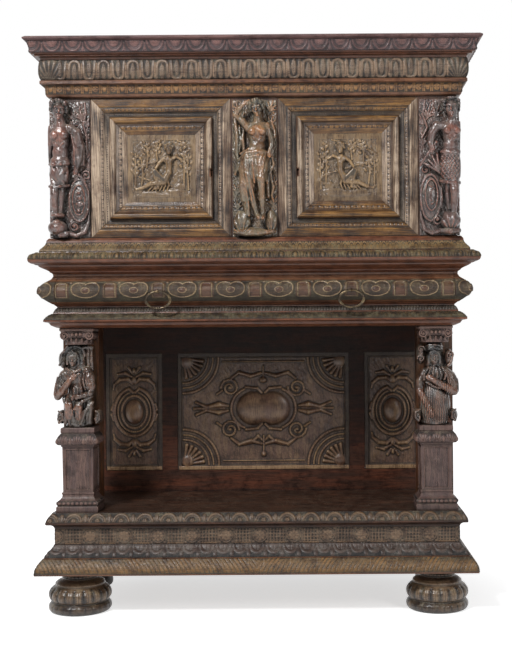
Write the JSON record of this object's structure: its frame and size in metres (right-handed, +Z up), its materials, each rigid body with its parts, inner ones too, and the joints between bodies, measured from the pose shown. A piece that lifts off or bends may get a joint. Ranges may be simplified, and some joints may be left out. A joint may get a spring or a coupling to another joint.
{
  "type": "cabinet on stand",
  "caption": "Carved walnut cabinet with panelled doors and a bulging frieze drawer, on an open stand with carved figures, a panelled back and bun feet.",
  "frame": {"origin": "on the floor, under the middle of the whole piece", "axes": "+Z up, +Y towards the back, so the doors face -Y, +X to the right as seen from the front"},
  "size_m": [1.34, 0.52, 1.7],
  "materials": {
    "walnut_mouldings": "dark waxed walnut, worn red-brown on the edges",
    "walnut_carved": "dark carved walnut with dust-grey wax in the hollows",
    "walnut_figures": "polished dark walnut with glossy high points",
    "walnut_doors": "waxed walnut, worn paler on the flat faces",
    "walnut_panels": "dark carved walnut in low relief",
    "walnut_carcase": "dark plain walnut",
    "walnut_feet": "turned and carved walnut, waxed",
    "oak_inside": "bare dry oak",
    "iron": "dark forged iron, rubbed bright where it is held"
  },
  "bodies": {
    "carcase": {"cornice_board": "walnut_mouldings", "cornice_cove": "walnut_mouldings", "architrave": "walnut_mouldings", "waist_cornice": "walnut_mouldings", "lower_frieze_moulding": "walnut_mouldings", "stand_shelf": "walnut_mouldings", "cornice_leaf_moulding": "walnut_carved", "cornice_pulvinated_frieze": "walnut_carved", "left_corner_stile": "walnut_carved", "centre_stile": "walnut_carved", "right_corner_stile": "walnut_carved", "base_frieze": "walnut_carved", "base_skirt": "walnut_carved", "left_capital": "walnut_carved", "right_capital": "walnut_carved", "left_pedestal": "walnut_carved", "right_pedestal": "walnut_carved", "left_corner_figure": "walnut_figures", "centre_figure": "walnut_figures", "right_corner_figure": "walnut_figures", "left_caryatid": "walnut_figures", "right_caryatid": "walnut_figures", "left_back_panel": "walnut_panels", "centre_back_panel": "walnut_panels", "right_back_panel": "walnut_panels", "cabinet_left_side": "walnut_carcase", "cabinet_right_side": "walnut_carcase", "drawer_case": "walnut_carcase", "left_post": "walnut_carcase", "right_post": "walnut_carcase", "back_frame": "walnut_carcase", "front_left_foot": "walnut_feet", "front_right_foot": "walnut_feet", "rear_left_foot": "walnut_feet", "rear_right_foot": "walnut_feet", "cabinet_top_board": "oak_inside", "cabinet_bottom_board": "oak_inside", "cabinet_back": "oak_inside", "cabinet_shelf": "oak_inside", "shelf_cleats": "oak_inside", "base_bottom_board": "oak_inside"},
    "left_door": {"left_door_frame": "walnut_doors", "left_door_moulding": "walnut_mouldings", "left_door_panel": "walnut_panels", "left_door_lock": "iron", "left_door_pivots": "iron"},
    "right_door": {"right_door_frame": "walnut_doors", "right_door_moulding": "walnut_mouldings", "right_door_panel": "walnut_panels", "right_door_lock": "iron", "right_door_pivots": "iron"},
    "left_bolt": {"left_lock_bolt": "iron"},
    "right_bolt": {"right_lock_bolt": "iron"},
    "drawer": {"drawer_front": "walnut_carved", "drawer_box": "oak_inside", "drawer_bottom": "oak_inside", "ring_staples": "iron"},
    "left_ring": {"left_ring_pull": "iron"},
    "right_ring": {"right_ring_pull": "iron"}
  },
  "joints": [
    {"name": "left_door_hinge", "type": "hinge", "parent": "carcase", "child": "left_door", "pos_m": [-0.477, -0.1864, 1.1145], "axis": [0, 0, -1], "range_deg": [0, 95]},
    {"name": "right_door_hinge", "type": "hinge", "parent": "carcase", "child": "right_door", "pos_m": [0.477, -0.1864, 1.1145], "axis": [0, 0, 1], "range_deg": [0, 95]},
    {"name": "left_bolt_slide", "type": "slide", "parent": "left_door", "child": "left_bolt", "axis": [1, 0, 0], "range_m": [0, 0.01]},
    {"name": "right_bolt_slide", "type": "slide", "parent": "right_door", "child": "right_bolt", "axis": [-1, 0, 0], "range_m": [0, 0.01]},
    {"name": "drawer_slide", "type": "slide", "parent": "carcase", "child": "drawer", "axis": [0, -1, 0], "range_m": [0, 0.3]},
    {"name": "left_ring_swing", "type": "hinge", "parent": "drawer", "child": "left_ring", "pos_m": [-0.283, -0.235, 0.9545], "axis": [-1, 0, 0], "range_deg": [0, 100]},
    {"name": "right_ring_swing", "type": "hinge", "parent": "drawer", "child": "right_ring", "pos_m": [0.283, -0.235, 0.9545], "axis": [-1, 0, 0], "range_deg": [0, 100]}
  ]
}
